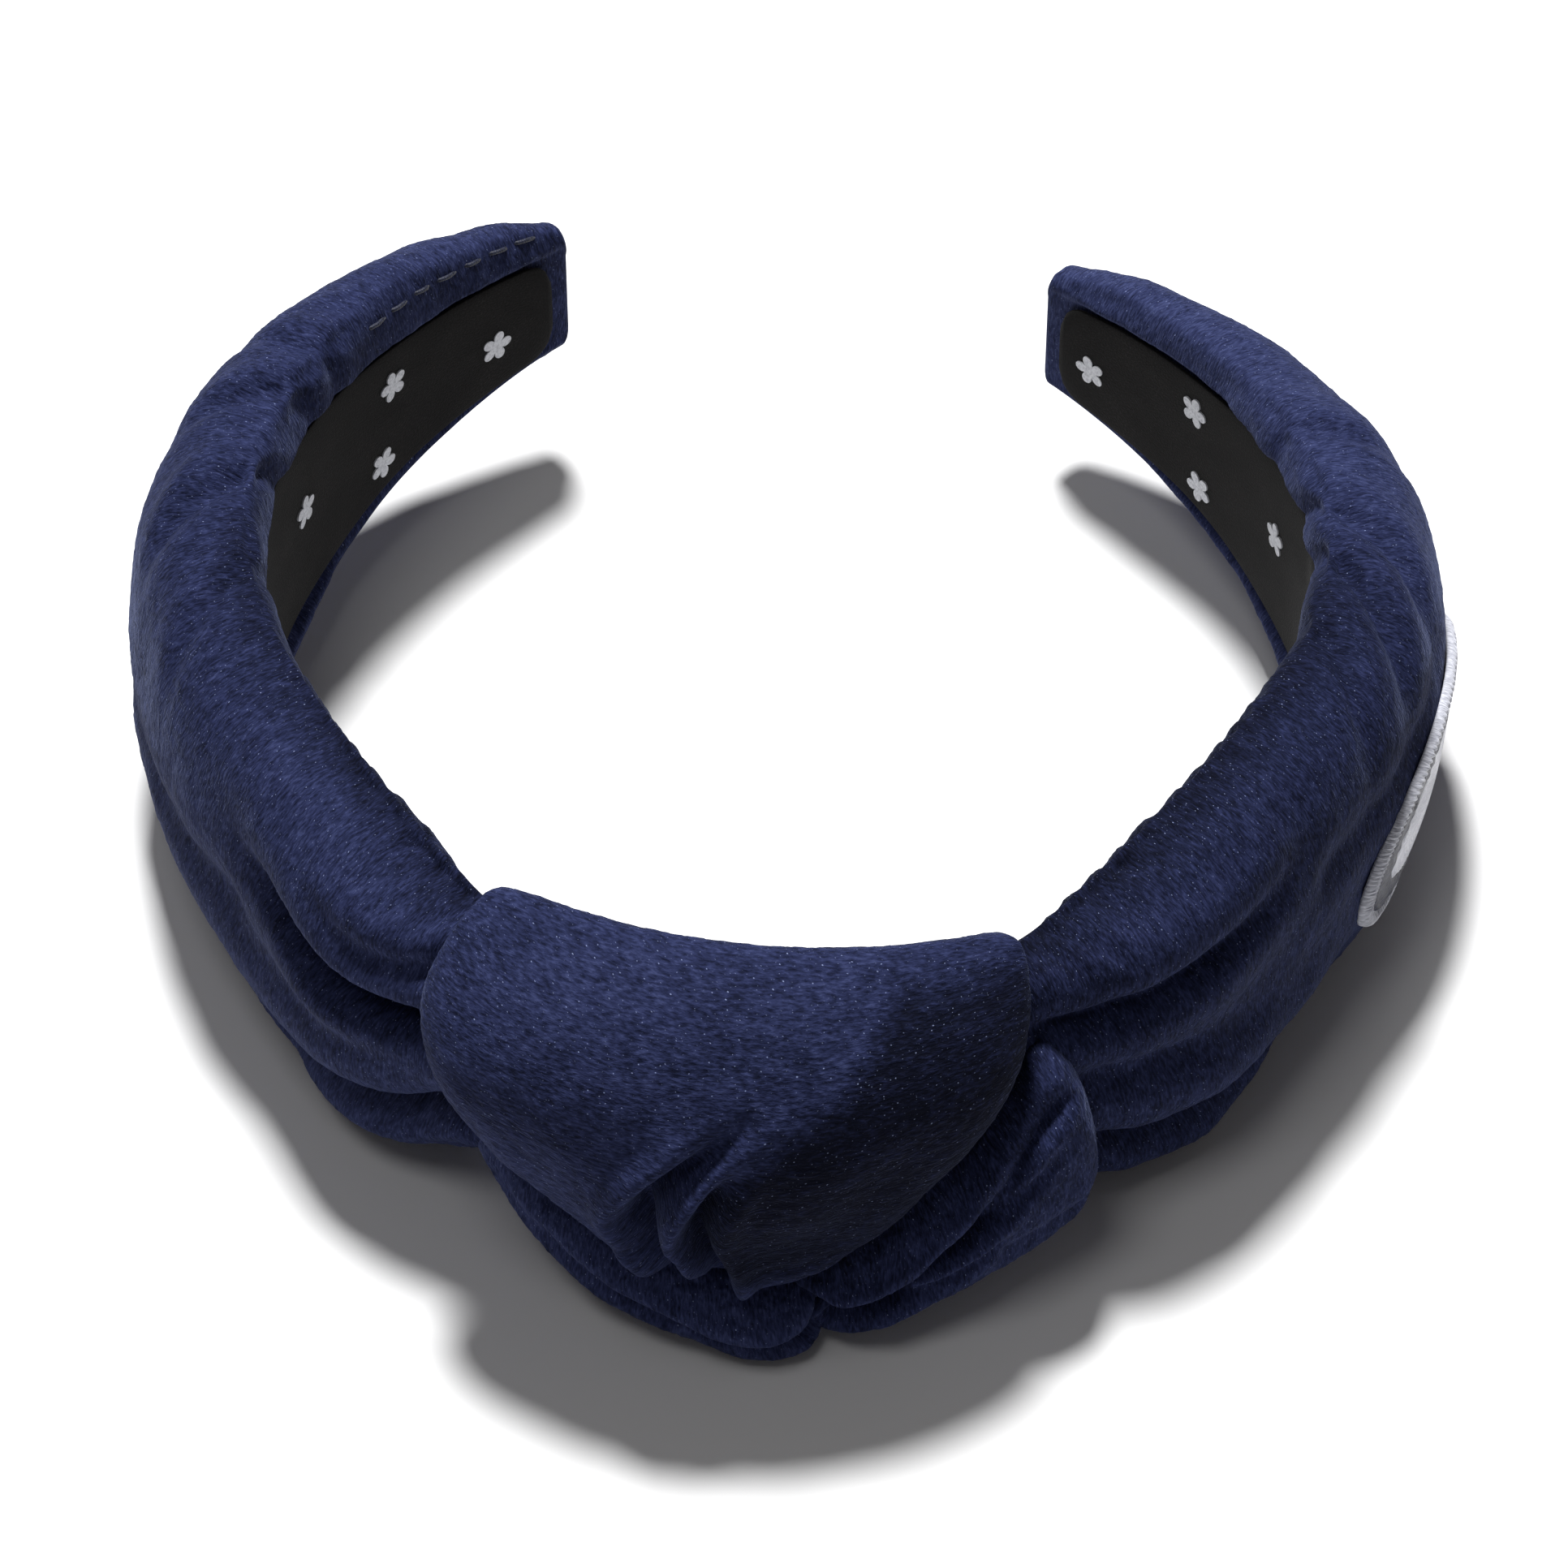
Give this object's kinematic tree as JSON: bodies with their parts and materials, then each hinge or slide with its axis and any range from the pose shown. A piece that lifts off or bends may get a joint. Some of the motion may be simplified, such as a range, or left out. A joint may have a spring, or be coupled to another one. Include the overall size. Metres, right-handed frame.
{
  "type": "knotted headband",
  "caption": "Padded velvet headband, a springy C-shaped hoop with a large knot at the front, a soft lining towards the head and an oval badge on one side.",
  "frame": {"origin": "under the middle of the knot, below the core's middle, on the plane that the headband rests on", "axes": "+X to the right arm, +Y from the knot to the open ends, +Z along the band's width"},
  "size_m": [0.1668, 0.1615, 0.054],
  "materials": {
    "velvet": "plush velvet pile",
    "lining_cloth": "matt velour",
    "core_plastic": "moulded",
    "wadding": "open foam",
    "print_white": "screen print",
    "thread": "sewing thread",
    "patch_white": "embroidery",
    "patch_navy": "embroidery",
    "patch_satin": "satin"
  },
  "bodies": {
    "crown": {"core_crown": "core_plastic", "lining_crown": "lining_cloth", "knot_front_wrap": "velvet", "knot_left_loop": "velvet", "knot_right_loop": "velvet", "knot_filling": "wadding"},
    "left_arm": {"core_arm_left": "core_plastic", "foam_left": "wadding", "cover_left": "velvet", "lining_left": "lining_cloth", "lining_print_left": "print_white", "hem_stitches_left": "thread"},
    "right_arm": {"core_arm_right": "core_plastic", "foam_right": "wadding", "cover_right": "velvet", "lining_right": "lining_cloth", "lining_print_right": "print_white", "patch_backing": "patch_white", "patch_border": "patch_white", "patch_band": "patch_navy", "patch_centre": "patch_satin"}
  },
  "joints": [
    {"name": "left_flex", "type": "hinge", "parent": "crown", "child": "left_arm", "pos_m": [-0.03363, 0.01105, 0.026], "axis": [0, 0, 1], "range_deg": [-4, 10], "stiffness_Nm_per_rad": 2.5},
    {"name": "right_flex", "type": "hinge", "parent": "crown", "child": "right_arm", "pos_m": [0.03363, 0.01105, 0.026], "axis": [0, 0, -1], "range_deg": [-4, 10], "stiffness_Nm_per_rad": 2.5}
  ]
}
